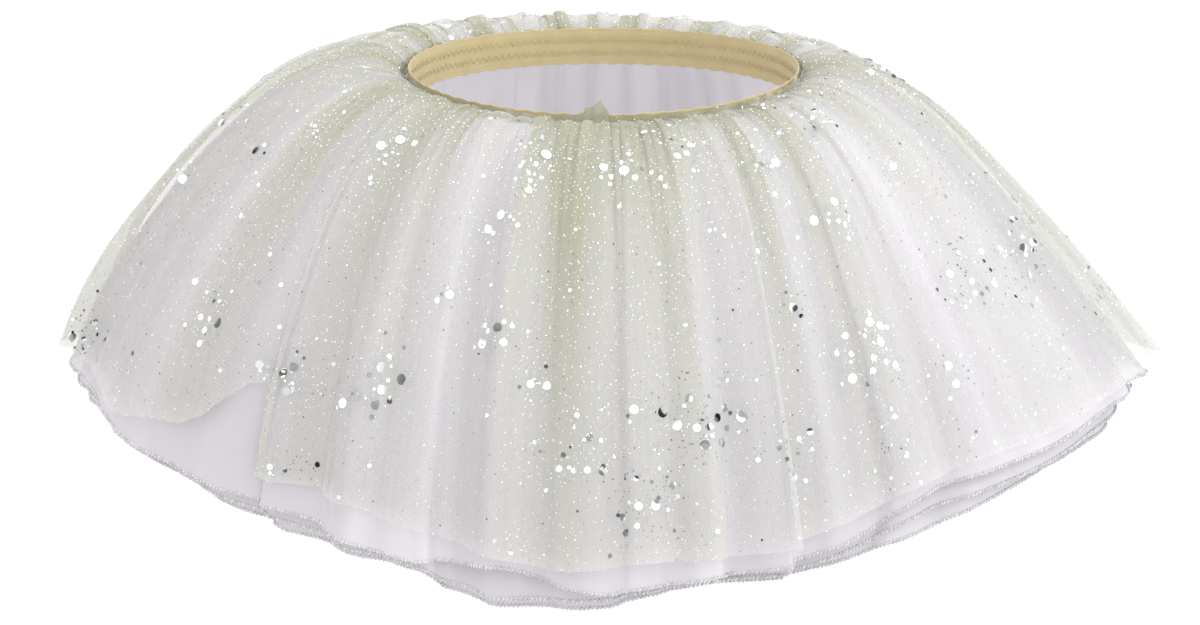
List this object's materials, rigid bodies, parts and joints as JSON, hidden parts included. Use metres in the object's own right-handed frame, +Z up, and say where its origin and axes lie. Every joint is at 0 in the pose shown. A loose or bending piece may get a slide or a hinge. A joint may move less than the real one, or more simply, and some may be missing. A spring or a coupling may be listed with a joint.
{
  "type": "child's ballet tutu",
  "caption": "Child's tutu in its worn form: elastic waistband, sheer dotted outer net and white under nets with overlocked hems.",
  "frame": {"origin": "centre of the waistband's ring, at the height where the outer net is sewn on at the sides: the wearer's waist", "axes": "+X towards the wearer's left, -Y to the front, +Z up along the wearer's body"},
  "size_m": [0.6335, 0.439, 0.2528],
  "materials": {
    "elastic": "ribbed woven elastic, soft satin sheen",
    "dotted_net": "sheer fine net, sage-cream, with silver foil dots and glitter",
    "white_net": "soft matte white net, hem overlocked in silver thread"
  },
  "bodies": {
    "root": {"waistband": "elastic", "outer_net": "dotted_net", "white_net_1": "white_net", "white_net_2": "white_net", "white_net_3": "white_net"}
  },
  "joints": []
}
